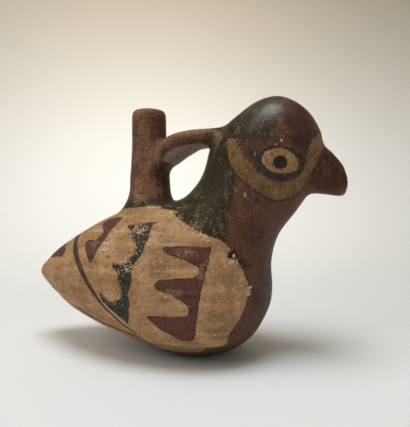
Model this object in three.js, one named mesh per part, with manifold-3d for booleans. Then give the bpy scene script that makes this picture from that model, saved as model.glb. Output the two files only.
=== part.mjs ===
// Bird effigy vase: one hollow fired-clay vessel in the shape of a sitting bird. A round body runs
// back to a pointed tail and up through a thick neck into a round head with a blunt beak. A spout
// stands on the back, and a strap handle runs from the spout to the back of the head.
// Millimetres. +X points towards the beak and +Z is up. The origin is on the flat spot under the
// belly that the vessel stands on.
import * as THREE from "three";
import { mergeVertices } from "three/addons/utils/BufferGeometryUtils.js";
import Module from "manifold-3d";

const wasm = await Module();
wasm.setup();

// The bird
const LENGTH = 211; // tail tip to the front of the beak
const HEIGHT = 160; // flat spot to the crown of the head
const WIDTH = 102; // across the belly
const WALL = 5; // clay of the body, neck and head
const SINK = 2; // how much of the round belly the flat spot takes away
const BEAK_WIDTH = 26; // across, where it leaves the face

// The spout
const SPOUT_RISE = 64; // rim above the bird's back
const SPOUT_ACROSS = 23.7; // outside, below the rim
const SPOUT_FOOT_ACROSS = 27.6; // outside, above the flare at its foot
const SPOUT_WALL = 4;
const SPOUT_LEAN = 1.2; // how far the rim leans back towards the tail
const FLARE_SPREAD = 14; // how far the foot of the spout runs out
const FLARE_DROP = 11; // how far below the back's ridge the flare ends, under the bird's skin
const FLARE_RISE = 13; // how far up the spout the flare begins
const LIP_ROUND = 3; // rounding of the rim's outer edge
const LIP_SHARE = 0.75; // the most of the spout's wall that this rounding may take

// The strap handle
const STRAP_WIDTH = 23;
const STRAP_THICKNESS = 10.4;

// Body, neck and head are one form, drawn as rings. Each ring runs from a point on the bird's back,
// nape or crown to a point on its belly, breast, throat or face. Points are [x, z] in shares of
// LENGTH and of the height of the unflattened bird. The half width is a share of WIDTH, and low
// moves the widest place towards the belly.
const RINGS = [
  { back: [-0.543, 0.302], under: [-0.543, 0.302], half: 0, low: 0 },
  { back: [-0.537, 0.328], under: [-0.536, 0.278], half: 0.051, low: 0 },
  { back: [-0.512, 0.359], under: [-0.514, 0.255], half: 0.098, low: 0 },
  { back: [-0.45, 0.421], under: [-0.455, 0.205], half: 0.196, low: 0 },
  { back: [-0.355, 0.492], under: [-0.365, 0.139], half: 0.319, low: 0.03 },
  { back: [-0.261, 0.552], under: [-0.251, 0.084], half: 0.417, low: 0.05 },
  { back: [-0.18, 0.583], under: [-0.128, 0.036], half: 0.475, low: 0.05 },
  { back: [-0.104, 0.599], under: [-0.009, 0.002], half: 0.5, low: 0.05 },
  { back: [-0.052, 0.61], under: [0.1, 0.014], half: 0.5, low: 0.05 },
  { back: [-0.019, 0.622], under: [0.19, 0.082], half: 0.475, low: 0.03 },
  { back: [0.002, 0.642], under: [0.244, 0.216], half: 0.422, low: 0 },
  { back: [0.021, 0.67], under: [0.246, 0.37], half: 0.35, low: 0 },
  { back: [0.037, 0.704], under: [0.267, 0.475], half: 0.3, low: 0 },
  { back: [0.05, 0.75], under: [0.317, 0.562], half: 0.275, low: 0 },
  { back: [0.064, 0.815], under: [0.355, 0.636], half: 0.282, low: 0 },
  { back: [0.104, 0.891], under: [0.379, 0.713], half: 0.286, low: 0 },
  { back: [0.152, 0.94], under: [0.394, 0.79], half: 0.265, low: 0 },
  { back: [0.206, 0.985], under: [0.39, 0.852], half: 0.216, low: 0 },
  { back: [0.258, 1.001], under: [0.374, 0.898], half: 0.152, low: 0 },
  { back: [0.296, 0.99], under: [0.355, 0.934], half: 0.086, low: 0 },
  { back: [0.328, 0.964], under: [0.328, 0.964], half: 0, low: 0 },
];

// Beak rings stand upright across the beak: x in shares of LENGTH, top and bottom in shares of the
// bird's height, the half width in shares of BEAK_WIDTH. The first ring is inside the head.
const BEAK_RINGS = [
  { x: 0.313, top: 0.827, bottom: 0.633, half: 0.5 },
  { x: 0.379, top: 0.824, bottom: 0.628, half: 0.492 },
  { x: 0.408, top: 0.798, bottom: 0.623, half: 0.423 },
  { x: 0.431, top: 0.765, bottom: 0.619, half: 0.327 },
  { x: 0.448, top: 0.735, bottom: 0.62, half: 0.231 },
  { x: 0.457, top: 0.704, bottom: 0.639, half: 0.135 },
  { x: 0.461, top: 0.682, bottom: 0.664, half: 0.038 },
];
const BEAK_LOW = 0.2; // the beak is widest below its middle, and its upper ridge is narrower

// Where the spout and the strap's two ends sit on the bird
const SPOUT_AT = -0.139; // share of LENGTH
const STRAP_ON_SPOUT = 0.36; // share of SPOUT_RISE
const STRAP_IN_HEAD = [0.142, 0.858]; // shares, as for the rings

// The strap's middle line: how far along from the spout's axis to the head, and how far down from
// its end in the head to its end on the spout. Its width and thickness are shares of the strap's, and
// keel is how far its underside swells down below that, as a share of the thickness.
const STRAP_LINE = [
  { along: 0.09, down: 1.25, wide: 0.95, thick: 0.9, keel: 0 },
  { along: 0.11, down: 0.86, wide: 1.12, thick: 1.12, keel: 0.12 },
  { along: 0.155, down: 0.54, wide: 1.2, thick: 1.15, keel: 0.42 },
  { along: 0.24, down: 0.27, wide: 1.2, thick: 1.07, keel: 0.57 },
  { along: 0.34, down: 0.1, wide: 1.14, thick: 1.06, keel: 0.56 },
  { along: 0.445, down: 0.02, wide: 1.06, thick: 1.02, keel: 0.46 },
  { along: 0.56, down: -0.03, wide: 1, thick: 0.98, keel: 0.28 },
  { along: 0.73, down: -0.02, wide: 1, thick: 1.05, keel: 0.12 },
  { along: 0.865, down: 0, wide: 1.06, thick: 1.25, keel: 0.18 },
  { along: 1, down: 0, wide: 1.15, thick: 1.6, keel: 0 },
];
const STRAP_SQUARENESS = 0.72; // 1 is an oval section, and less is squarer

// The hollow stops where the form is narrower than this many walls to each side, and the bore
// reaches this many walls below the bird's back
const TIP_WALLS = 2;
const BORE_WALLS = 3;

// How finely the faceted solids are cut
const FORM_STEPS = 44;
const FORM_SIDES = 44;
const HOLLOW_STEPS = 24;
const HOLLOW_SIDES = 26;
const BEAK_STEPS = 10;
const BEAK_SIDES = 18;
const SPOUT_SIDES = 36;
const SPOUT_CURVE_STEPS = 4;
const STRAP_STEPS = 20;
const STRAP_SIDES = 20;
const SAMPLES = 400; // along the back, to find its height under the spout

const BOTTOM_TO_CROWN = HEIGHT + SINK;
const middlePoint = ([x, z]) => new THREE.Vector3(x * LENGTH, 0, z * BOTTOM_TO_CROWN - SINK);
const curveThrough = (points) => new THREE.CatmullRomCurve3(points, false, "catmullrom", 0.5);

const backLine = curveThrough(RINGS.map((ring) => middlePoint(ring.back)));
const underLine = curveThrough(RINGS.map((ring) => middlePoint(ring.under)));
const girthLine = curveThrough(RINGS.map((ring) => new THREE.Vector3(ring.half * WIDTH, ring.low, 0)));

// An oval ring between two points of the middle plane, bulging half to each side.
function ovalRing(back, under, half, low, sides) {
  const points = [];
  for (let side = 0; side < sides; side += 1) {
    const turn = (2 * Math.PI * side) / sides;
    const toBack = (1 + Math.cos(turn) - low * Math.sin(turn) ** 2) / 2;
    const point = under.clone().lerp(back, toBack);
    point.y = half * Math.sin(turn);
    points.push(point);
  }
  return points;
}

// A closed skin over rings of equally many points, with one point at each end.
function skin(rings, first, last) {
  const sides = rings[0].length;
  const vertices = [first, ...rings.flat(), last];
  const end = vertices.length - 1;
  const at = (ring, side) => 1 + ring * sides + (side % sides);
  const faces = [];
  for (let side = 0; side < sides; side += 1) {
    faces.push(0, at(0, side), at(0, side + 1));
    faces.push(end, at(rings.length - 1, side + 1), at(rings.length - 1, side));
    for (let ring = 0; ring + 1 < rings.length; ring += 1) {
      faces.push(at(ring, side), at(ring + 1, side), at(ring + 1, side + 1));
      faces.push(at(ring, side), at(ring + 1, side + 1), at(ring, side + 1));
    }
  }
  const geometry = new THREE.BufferGeometry();
  geometry.setFromPoints(vertices);
  geometry.setIndex(faces);
  return geometry;
}

// A closed geometry as a solid that can be joined and cut.
function solid(geometry) {
  const bare = geometry.clone();
  bare.deleteAttribute("normal");
  bare.deleteAttribute("uv");
  const merged = mergeVertices(bare, 1e-4);
  return new wasm.Manifold(new wasm.Mesh({
    numProp: 3,
    vertProperties: new Float32Array(merged.attributes.position.array),
    triVerts: new Uint32Array(merged.index.array),
  }));
}

function geometryOf(manifold) {
  const mesh = manifold.getMesh();
  const geometry = new THREE.BufferGeometry();
  geometry.setAttribute("position", new THREE.BufferAttribute(mesh.vertProperties, 3));
  geometry.setIndex(new THREE.BufferAttribute(mesh.triVerts, 1));
  geometry.computeVertexNormals();
  return geometry;
}

// The skin of the bird's body, neck and head.
function birdForm() {
  const rings = [];
  for (let step = 1; step < FORM_STEPS; step += 1) {
    const u = step / FORM_STEPS;
    const girth = girthLine.getPoint(u);
    rings.push(ovalRing(backLine.getPoint(u), underLine.getPoint(u), girth.x, girth.y, FORM_SIDES));
  }
  return skin(rings, backLine.getPoint(0), backLine.getPoint(1));
}

// The hollow inside it, a wall's thickness further in. It leaves out the tips, where two walls meet.
function hollow() {
  const rings = [];
  const middles = [];
  for (let step = 1; step < HOLLOW_STEPS; step += 1) {
    const u = step / HOLLOW_STEPS;
    const back = backLine.getPoint(u);
    const under = underLine.getPoint(u);
    const girth = girthLine.getPoint(u);
    if (Math.min(back.distanceTo(under) / 2, girth.x) > TIP_WALLS * WALL) {
      const inward = under.clone().sub(back).setLength(WALL);
      back.add(inward);
      under.sub(inward);
      rings.push(ovalRing(back, under, girth.x - WALL, girth.y, HOLLOW_SIDES));
      middles.push(back.lerp(under, 0.5));
    }
  }
  return skin(rings, middles[0], middles[middles.length - 1]);
}

function beak() {
  const topLine = curveThrough(BEAK_RINGS.map((ring) => middlePoint([ring.x, ring.top])));
  const bottomLine = curveThrough(BEAK_RINGS.map((ring) => middlePoint([ring.x, ring.bottom])));
  const halfLine = curveThrough(BEAK_RINGS.map((ring) => new THREE.Vector3(ring.half * BEAK_WIDTH, 0, 0)));
  const rings = [];
  for (let step = 0; step <= BEAK_STEPS; step += 1) {
    const u = step / BEAK_STEPS;
    const half = halfLine.getPoint(u).x;
    rings.push(ovalRing(topLine.getPoint(u), bottomLine.getPoint(u), half, BEAK_LOW, BEAK_SIDES));
  }
  const middleAt = (u) => topLine.getPoint(u).lerp(bottomLine.getPoint(u), 0.5);
  return skin(rings, middleAt(0), middleAt(1));
}

// Height of the bird's back at a place along it.
function backHeight(x) {
  const samples = backLine.getPoints(SAMPLES);
  return samples.reduce((best, p) => (Math.abs(p.x - x) < Math.abs(best.x - x) ? p : best)).z;
}

const spoutX = SPOUT_AT * LENGTH;
const spoutFoot = backHeight(spoutX);
const spoutRim = spoutFoot + SPOUT_RISE;
const lipRound = Math.min(LIP_ROUND, LIP_SHARE * SPOUT_WALL);

// A turned solid on the spout's axis, leaning as the spout does.
function turned(profile) {
  const geometry = new THREE.LatheGeometry(profile.getPoints(SPOUT_CURVE_STEPS), SPOUT_SIDES);
  geometry.rotateX(Math.PI / 2);
  const lean = new THREE.Matrix4().makeShear(0, 0, 0, 0, -SPOUT_LEAN / SPOUT_RISE, 0);
  geometry.translate(0, 0, -spoutFoot);
  geometry.applyMatrix4(lean);
  geometry.translate(spoutX, 0, spoutFoot);
  return geometry;
}

function spout() {
  const foot = SPOUT_FOOT_ACROSS / 2;
  const neck = SPOUT_ACROSS / 2;
  const edge = spoutFoot - FLARE_DROP;
  const bend = spoutFoot + FLARE_RISE;
  const profile = new THREE.Shape();
  profile.moveTo(0, edge);
  profile.lineTo(foot + FLARE_SPREAD, edge);
  profile.quadraticCurveTo(foot, spoutFoot, foot, bend);
  profile.bezierCurveTo(foot, bend + FLARE_RISE, neck, bend + FLARE_RISE, neck, spoutRim - lipRound);
  profile.absarc(neck - lipRound, spoutRim - lipRound, lipRound, 0, Math.PI / 2, false);
  profile.lineTo(0, spoutRim);
  return turned(profile);
}

// The channel through the spout, its mouth a little wider, down into the hollow.
function bore() {
  const radius = SPOUT_ACROSS / 2 - SPOUT_WALL;
  const mouth = SPOUT_WALL - lipRound;
  const profile = new THREE.Shape();
  profile.moveTo(0, spoutFoot - BORE_WALLS * WALL);
  profile.lineTo(radius, spoutFoot - BORE_WALLS * WALL);
  profile.lineTo(radius, spoutRim - 2 * mouth);
  profile.lineTo(radius + mouth, spoutRim);
  profile.lineTo(radius + mouth, spoutRim + mouth);
  profile.lineTo(0, spoutRim + mouth);
  return turned(profile);
}

// The strap: a flat band that leaves the head level and bends down round the side of the spout. It
// is wider than the spout there, and its underside is full.
function strap() {
  const headEnd = middlePoint(STRAP_IN_HEAD);
  const spoutEnd = new THREE.Vector3(spoutX, 0, spoutFoot + STRAP_ON_SPOUT * SPOUT_RISE);
  const middle = curveThrough(STRAP_LINE.map(({ along, down }) => new THREE.Vector3(
    THREE.MathUtils.lerp(spoutEnd.x, headEnd.x, along),
    0,
    THREE.MathUtils.lerp(headEnd.z, spoutEnd.z, down),
  )));
  const size = curveThrough(STRAP_LINE.map(({ wide, thick, keel }) => (
    new THREE.Vector3(wide, thick, keel)
  )));
  const squared = (value) => Math.sign(value) * Math.abs(value) ** STRAP_SQUARENESS;
  const rings = [];
  for (let step = 0; step <= STRAP_STEPS; step += 1) {
    const u = step / STRAP_STEPS;
    const along = middle.getTangent(u);
    const up = new THREE.Vector3(-along.z, 0, along.x);
    const { x: wide, y: thick, z: keel } = size.getPoint(u);
    const ring = [];
    for (let side = 0; side < STRAP_SIDES; side += 1) {
      const turn = (2 * Math.PI * side) / STRAP_SIDES;
      const point = middle.getPoint(u);
      const under = Math.max(-Math.cos(turn), 0);
      const rise = (squared(Math.cos(turn)) * thick) / 2 - Math.max(keel, 0) * under ** 2;
      point.addScaledVector(up, rise * STRAP_THICKNESS);
      point.y = (squared(Math.sin(turn)) * wide * STRAP_WIDTH) / 2;
      ring.push(point);
    }
    rings.push(ring);
  }
  return skin(rings, middle.getPoint(0), middle.getPoint(1));
}

// Everything below a height, for cutting flat.
function below(height) {
  const block = new THREE.BoxGeometry(2 * LENGTH, 2 * LENGTH, LENGTH);
  block.translate(0, 0, height - LENGTH / 2);
  return solid(block);
}

function vessel() {
  const inside = solid(hollow()).subtract(below(WALL)).add(solid(bore()));
  return solid(birdForm())
    .add(solid(beak()))
    .add(solid(spout()))
    .add(solid(strap()))
    .subtract(inside)
    .subtract(below(0));
}

const clay = new THREE.MeshStandardMaterial({ color: 0xa9805c, roughness: 0.6, metalness: 0 });
const vase = new THREE.Mesh(geometryOf(vessel()), clay);
vase.name = "bird_vase";

const group = new THREE.Group();
group.add(vase);
export default group;
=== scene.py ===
"""Bird effigy vase: one hollow fired-clay vessel in the shape of a sitting bird, painted with slips.

The vessel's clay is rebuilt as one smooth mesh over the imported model's form, and its slip painting,
burnish, smoke clouds and wear are a procedural material. Run it as a script in Blender 4.5.
"""

import bpy
import numpy as np
from bpy.props import FloatProperty, FloatVectorProperty, IntProperty, PointerProperty
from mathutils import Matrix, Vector, noise
from mathutils.bvhtree import BVHTree


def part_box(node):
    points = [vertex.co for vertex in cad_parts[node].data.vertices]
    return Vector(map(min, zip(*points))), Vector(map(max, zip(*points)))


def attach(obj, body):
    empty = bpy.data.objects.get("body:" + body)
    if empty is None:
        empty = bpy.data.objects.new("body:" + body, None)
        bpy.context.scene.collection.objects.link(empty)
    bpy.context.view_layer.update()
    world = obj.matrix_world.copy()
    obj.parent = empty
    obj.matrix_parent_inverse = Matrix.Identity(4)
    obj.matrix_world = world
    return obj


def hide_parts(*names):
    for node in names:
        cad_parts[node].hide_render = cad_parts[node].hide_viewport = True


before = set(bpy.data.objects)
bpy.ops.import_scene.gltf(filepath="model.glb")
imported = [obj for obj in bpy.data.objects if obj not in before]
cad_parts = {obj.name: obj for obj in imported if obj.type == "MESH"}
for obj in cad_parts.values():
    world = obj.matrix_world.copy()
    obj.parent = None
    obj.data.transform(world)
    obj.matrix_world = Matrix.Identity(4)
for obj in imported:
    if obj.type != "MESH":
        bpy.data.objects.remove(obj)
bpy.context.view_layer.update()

bl_info = {
    "name": "Bird Effigy Vase",
    "version": (1, 0, 0),
    "blender": (4, 5, 0),
    "location": "3D View > Sidebar > Vase",
    "description": "Makes a painted clay bird vessel and a plain studio around it",
    "category": "Object",
}

NODE = "bird_vase"
BODY = "root"
MM = 0.001
TINY = 1e-9

# The form, in millimetres, as in the solid model
LENGTH = 211.0
HEIGHT = 160.0
WIDTH = 102.0
SINK = 2.0
BEAK_WIDTH = 26.0
SPOUT_RISE = 64.0
FLARE_SPREAD = 14.0
FLARE_DROP = 11.0
FLARE_RISE = 13.0
LIP_ROUND = 3.0
LIP_DROP = 5.0
SPOUT_LEAN = 1.2
SPOUT_AT = -0.139
STRAP_ON_SPOUT = 0.36
STRAP_IN_HEAD = (0.142, 0.858)
BEAK_LOW = 0.2

# Rings less than this many walls deep stay solid, and the bore starts this many walls below the back
TIP_WALLS = 2
BORE_WALLS = 3

# Rings of the body, neck and head: a point on the back and one on the belly, in shares of LENGTH and
# of the unflattened height, the half width in shares of WIDTH, and how low the widest place is
RINGS = (
    ((-0.543, 0.302), (-0.543, 0.302), 0, 0),
    ((-0.537, 0.328), (-0.536, 0.278), 0.051, 0),
    ((-0.512, 0.359), (-0.514, 0.255), 0.098, 0),
    ((-0.45, 0.421), (-0.455, 0.205), 0.196, 0),
    ((-0.355, 0.492), (-0.365, 0.139), 0.319, 0.03),
    ((-0.261, 0.552), (-0.251, 0.084), 0.417, 0.05),
    ((-0.18, 0.583), (-0.128, 0.036), 0.475, 0.05),
    ((-0.104, 0.599), (-0.009, 0.002), 0.5, 0.05),
    ((-0.052, 0.61), (0.1, 0.014), 0.5, 0.05),
    ((-0.019, 0.622), (0.19, 0.082), 0.475, 0.03),
    ((0.002, 0.642), (0.244, 0.216), 0.422, 0),
    ((0.021, 0.67), (0.246, 0.37), 0.35, 0),
    ((0.037, 0.704), (0.267, 0.475), 0.3, 0),
    ((0.05, 0.75), (0.317, 0.562), 0.275, 0),
    ((0.064, 0.815), (0.355, 0.636), 0.282, 0),
    ((0.104, 0.891), (0.379, 0.713), 0.286, 0),
    ((0.152, 0.94), (0.394, 0.79), 0.265, 0),
    ((0.206, 0.985), (0.39, 0.852), 0.216, 0),
    ((0.258, 1.001), (0.374, 0.898), 0.152, 0),
    ((0.296, 0.99), (0.355, 0.934), 0.086, 0),
    ((0.328, 0.964), (0.328, 0.964), 0, 0),
)

# Upright rings across the beak: place, top, bottom and half width, in the same shares
BEAK_RINGS = (
    (0.313, 0.827, 0.633, 0.5),
    (0.379, 0.824, 0.628, 0.492),
    (0.408, 0.798, 0.623, 0.423),
    (0.431, 0.765, 0.619, 0.327),
    (0.448, 0.735, 0.62, 0.231),
    (0.457, 0.704, 0.639, 0.135),
    (0.461, 0.682, 0.664, 0.038),
)

# The strap's middle line from the spout to the head, with shares of its width and thickness and how
# far its underside swells
STRAP_LINE = (
    (0.09, 1.25, 0.95, 0.9, 0),
    (0.11, 0.86, 1.12, 1.12, 0.12),
    (0.155, 0.54, 1.2, 1.15, 0.42),
    (0.24, 0.27, 1.2, 1.07, 0.57),
    (0.34, 0.1, 1.14, 1.06, 0.56),
    (0.445, 0.02, 1.06, 1.02, 0.46),
    (0.56, -0.03, 1, 0.98, 0.28),
    (0.73, -0.02, 1, 1.05, 0.12),
    (0.865, 0, 1.06, 1.25, 0.18),
    (1, 0, 1.15, 1.6, 0),
)

# The painted areas as the bird's side shows them, x and z in millimetres. Both sides are painted.
WING = (
    (-130, 110), (-49, 110), (-47, 92), (-39, 91.6), (-28, 92.4), (-19.6, 92.7), (-9.2, 91.2), (-2.7, 89),
    (3, 85.7), (12.3, 81), (18.7, 77.8), (24.2, 75.4), (29.4, 73.6), (32.5, 71), (34.6, 68.5), (37.6, 63.8),
    (40.1, 58.8), (43, 51), (44.1, 45), (42.9, 40.5), (41.3, 34.6), (38, 28), (33.5, 21), (30.5, 14),
    (30, 5), (30, -10), (-130, -10),
)
STEPPED_COMB = (
    (-2.4, 69.7), (-1.3, 67.6), (2, 65.4), (6.4, 64.3), (11.6, 63.2), (15.1, 61.4), (18.9, 59.6),
    (20, 57.5), (19.2, 55.4), (17, 53.8), (11.3, 53.7), (-2.2, 52.2), (-4.5, 49.5), (-3.2, 46.8),
    (1, 45.4), (6, 44), (10.4, 41.5), (14, 38.8), (15, 37), (13.9, 33), (4.2, 32), (-9.7, 32),
    (-9.9, 30.5), (-6.6, 27.2), (-3, 23.8), (2.3, 21), (6.1, 18), (10.5, 17), (14.7, 17.9), (16.7, 22.4),
    (18.6, 31), (20.3, 39.4), (22.8, 52.8), (24.9, 62.2), (25.3, 70.1), (11.2, 70.5),
)
BACK_FIGURE = (
    (-37, 86), (-43, 86), (-50, 84.5), (-52, 83), (-52, 81.5), (-49, 79), (-46.5, 77),
    (-48.5, 74), (-50, 72.5), (-57.5, 72), (-59, 70.5), (-57.5, 67), (-53, 62), (-50.5, 59),
    (-48, 60), (-47, 64), (-45, 68.5), (-43, 72), (-41.5, 76.5), (-39.5, 80.5),
)
TAIL_FIGURE = ((-89, 80), (-82, 66), (-79, 64), (-80, 60), (-84.5, 60), (-101, 57.5), (-112, 62))
BLACK_TOP = (
    (-29.2, 80.8), (-24.9, 82), (-18.1, 82.7), (-10.7, 83), (-13.2, 81), (-12.3, 75.7), (-13.7, 69.9),
    (-15.4, 63.9), (-18.7, 64.3), (-18.3, 67.6), (-19.4, 70.3), (-22.2, 73.5), (-24.7, 76.3),
)
BLACK_MIDDLE = (
    (-31.9, 59.4), (-28.3, 59), (-25.7, 59.7), (-22, 60.9), (-20.5, 63.2), (-18.6, 65), (-15.8, 64.6),
    (-16.9, 61.7), (-18.3, 58.9), (-19.3, 56.2), (-18.7, 51.3), (-20.9, 44), (-24.8, 44.3),
    (-25.2, 47.1), (-27.3, 50.8), (-28.5, 55.1), (-31.5, 57.2),
)
BLACK_LOW = (
    (-40.5, 42.2), (-38.3, 40.7), (-34.9, 38.7), (-32.9, 37.1), (-27.5, 39.4), (-25.4, 40.8),
    (-25.2, 43.8), (-21.2, 43.8), (-20.8, 39.5), (-21.1, 34.2), (-23.8, 24.9), (-25.8, 27.3),
    (-30.8, 30.5), (-35.7, 34.3), (-39.6, 38.1),
)
TAIL_LINE = (
    (-82, 80), (-76.2, 74.3), (-72, 70.8), (-68, 66.4), (-63.9, 62), (-59.6, 57.2), (-55.4, 52.6),
    (-51.6, 48.2), (-46.9, 42.8), (-42.1, 37.2), (-37.7, 32.7), (-32.9, 28.3), (-28.6, 24.2),
    (-24.1, 20.7), (-21.5, 18.5),
)
LOW_LINE = (
    (-66, 29), (-58, 25), (-49.8, 22.4), (-44.9, 20.4), (-36.9, 19), (-29.5, 17.6), (-23.4, 16.4),
    (-17, 13.4), (-12.6, 10.4),
)
# A painted highlight along the cream gap between the tail line and the low black figure, on the side towards
# the camera only
GAP_HIGHLIGHT = ((-40.5, 37.4), (-37.3, 34.1), (-33.7, 30.7), (-29.5, 27.4), (-26.2, 24.6))
EYE = (
    (50.7, 118.4), (51.9, 121.5), (54, 123.1), (58.5, 124.5), (61.4, 124.3), (64.4, 123.3), (68, 120.7),
    (69.8, 118.4), (70.5, 115.8), (69.8, 113.6), (67, 111.9), (61.2, 110.8), (55.9, 111.8), (52.6, 114.5),
)
EYE_OUTLINE = (
    (46, 114.6), (48.2, 111.5), (52.1, 108.8), (55.8, 107.5), (59.5, 106), (63.2, 106.8), (68.9, 108.6),
    (72.6, 112.3), (74.2, 116.4), (73.4, 120), (69.6, 123.2), (65.2, 125.2), (60.7, 126), (56.2, 126),
    (52, 124.2), (48.8, 121.9), (47, 119.2), (45.9, 117),
)
FACE_BAND = (
    (29.5, 131.5), (29.1, 129.8), (29.9, 125.4), (31.5, 119.4), (34.3, 113.6), (38.5, 108.6), (44.1, 103.7),
    (49.5, 99.7), (54.7, 96.9), (59.1, 96.2), (64.3, 97.3), (68.1, 99.9), (71.9, 104), (75, 108.9),
    (78.2, 114.5), (80.5, 120.3), (83.1, 126.6), (87, 136), (87, 142), (83, 139), (80.1, 133.2),
    (77.6, 130.5), (76, 125.9), (74.5, 121.1), (73.6, 116.4), (72, 112), (69.2, 108.5), (64.6, 106.2),
    (58, 105.6), (54.3, 107.4), (50.5, 109.9), (47.5, 112.3), (44.4, 116.3), (41.5, 120), (38.5, 123.8),
    (35.8, 128.9), (33.5, 131.5),
)
BAND_SHADOW = (
    (31, 118), (34, 113), (38, 108), (43.5, 103.2), (49, 99.2), (54.5, 96.4), (59.5, 95.4), (65, 96.5),
    (69, 99),
)
PUPIL_AT = (60.6, 116.8)
PUPIL_RADIUS = 3.8

# The strap's underside, painted pale as painted bounce light, and a painted shade line along the crease at
# its upper edge
STRAP_CREASE_SHADE = (
    (14, 133.6), (9, 133.1), (4, 132.6), (-0.5, 132.2), (-4.5, 131.5), (-8, 130.6), (-10.7, 129.2),
    (-12.6, 127.6), (-14.7, 125.6), (-16.4, 123.4), (-17.6, 121), (-18.4, 117),
)
STRAP_UNDERLIGHT = STRAP_CREASE_SHADE[1:-2] + ((-14.5, 121.5), (-9, 120), (-2, 125), (6, 128), (12, 130.5))

# The brown underside seen from above, x and distance from the middle plane
UNDERSIDE = (
    (-66, -5), (-66, 0), (-52, 15), (-30, 25), (-13, 31), (3, 31), (9, 31), (16, 30), (19.5, 33),
    (25, 30), (30, 28), (45, 28), (70, 20), (70, -5),
)

# The olive smoke cloud from the fire, which ends in a clear edge down the crown, face and neck
SMOKED = (
    (60.5, 170), (60.5, 149), (59.4, 139), (56.5, 131), (49, 128.5), (41, 127), (37, 122), (37, 108),
    (36.5, 100), (34.5, 93), (32, 84), (31, 74), (20, 66), (-60, 80), (-60, 95), (-42, 97), (-28, 98.5),
    (-16, 99), (-6, 104), (3, 113), (8, 122), (12, 128), (14, 140), (22, 170),
)

# Half widths of the painted lines. The one round the tail grows over a rise from its foot.
TAIL_LINE_HALF = 0.9
TAIL_LINE_GROWTH = 1.3
TAIL_LINE_FOOT = 18
TAIL_LINE_RISE = 55
LOW_LINE_HALF = 1.3
GAP_HIGHLIGHT_HALF = 0.45
BAND_SHADOW_HALF = 0.9
# Half width of the painted shade line along the strap's crease
CREASE_SHADE_HALF = 0.8

# The brown underside ends below this height
UNDERSIDE_TOP = 30

# Distances to painted edges stay within this reach, and count a surface as no steeper than this
FAR = 30.0
STEEPEST = 0.05

# Clouds on the slips, on the side view: x, z, half sizes and strength. The burnish shines in its own.
CLOUDS = {
    "smoke": (
        (2, 135, 14, 3, 0.4), (-12, 128, 8, 5, 0.4), (-15, 111, 4, 10, 0.6), (62, 6, 60, 8, 0.6),
        (46, 100, 8, 8, 0.3), (-19, 150, 4, 16, 0.45), (60, 60, 8, 30, 0.3), (19, 136, 11, 8, 0.7),
        (47, 122, 5, 7, 0.8), (73, 121, 3, 7, 0.5),
    ),
    "red": (
        (70, 146, 14, 14, 0.9), (74, 130, 10, 10, 0.8), (46, 78, 8, 16, 0.5), (50, 98, 10, 10, 0.5),
        (-38, 130, 3, 34, 0.4), (87, 112, 16, 16, 0.9), (52, 40, 12, 30, 0.5), (-42, 112, 4, 16, 0.5),
        (-28, 146, 5, 12, 0.35), (-19, 104, 6, 8, 0.5),
    ),
    "pale": (
        (-38, 155, 9, 7, 1.2), (-28, 104, 12, 10, 1.2), (-27, 118, 5, 12, 0.7), (-31, 134, 9, 24, 0.65),
        (4, 140, 18, 4, 0.8), (-14, 134, 8, 6, 0.7), (20, 136, 10, 5, 0.4), (-22, 126, 7, 8, 0.7),
        (-30, 98, 12, 3, 0.5), (-40, 106, 6, 8, 0.4),
    ),
    "scuffs": (
        (-40, 68, 10, 7, 0.9), (-20, 79, 9, 6, 0.75), (-24, 58, 7, 6, 0.8), (-20, 70, 6, 8, 0.7),
        (-32, 40, 8, 6, 0.7), (6, 45.5, 9, 4, 0.8), (10, 67, 11, 4, 0.75), (21, 56, 4, 7, 0.8),
        (-50, 70, 6, 5, 0.7), (36, 128, 8, 8, 0.5), (38, 64, 6, 6, 0.6), (-8, 91.5, 14, 2.5, 1.0),
        (60, 137, 6, 8, 0.6), (38, 100, 5, 5, 0.5), (86, 103, 8, 5, 0.5), (-40, 150, 6, 10, 0.5),
        (56, 112, 14, 3, 0.4), (25, 60, 6, 8, 0.5), (51, 119, 8, 9, 0.7), (68, 121, 8, 6, 0.5),
        (-28, 98, 18, 5, 1.0), (22, 80, 10, 8, 0.9), (18, 136, 12, 8, 0.7), (-4, 129, 14, 5, 0.4),
    ),
    # Stains; the long rows low along the bottom, at z 7 and z 11, are painted shade near the floor
    "stains": (
        (-3, 57, 8, 6, 0.9), (0, 42, 9, 5, 0.3), (30, 26, 14, 12, 0.7), (-60, 26, 26, 9, 0.5),
        (2, 73, 12, 4, 0.4), (-84, 40, 18, 8, 0.4), (36, 48, 7, 18, 0.5), (-10, 7, 46, 8, 1.1),
        (-28, 84, 14, 4, 0.3), (22, 106, 12, 24, 0.9), (30, 88, 10, 14, 0.5), (52, 44, 10, 30, 0.6),
        (48, 113, 6, 12, 0.5), (75, 104, 10, 6, 0.4), (22, 48, 5, 14, 0.5), (14, 70, 12, 4, 0.4),
        (49, 119, 5, 6, 0.8), (72, 128, 5, 8, 0.6), (62, 129, 8, 4, 0.5), (10, 18, 14, 8, 0.5),
        (86, 121, 9, 4, 0.8), (58, 60, 6, 20, 0.5), (30, 100, 8, 10, 0.5), (50, 129, 9, 5, 0.6),
        (43, 120, 4, 8, 0.7), (2, 11, 28, 3.5, 1.1), (60, 131, 10, 4, 0.6), (82, 127, 4, 6, 0.6),
    ),
    "burnish": (
        (54, 148, 20, 20, 1.0), (72, 138, 12, 20, 0.5), (50, 88, 12, 20, 0.2), (-30, 130, 20, 40, 0.25),
        (2, 134, 24, 10, 0.25),
    ),
}

# How far past its half sizes a cloud fades out
CLOUD_RIM = 1.25
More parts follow.
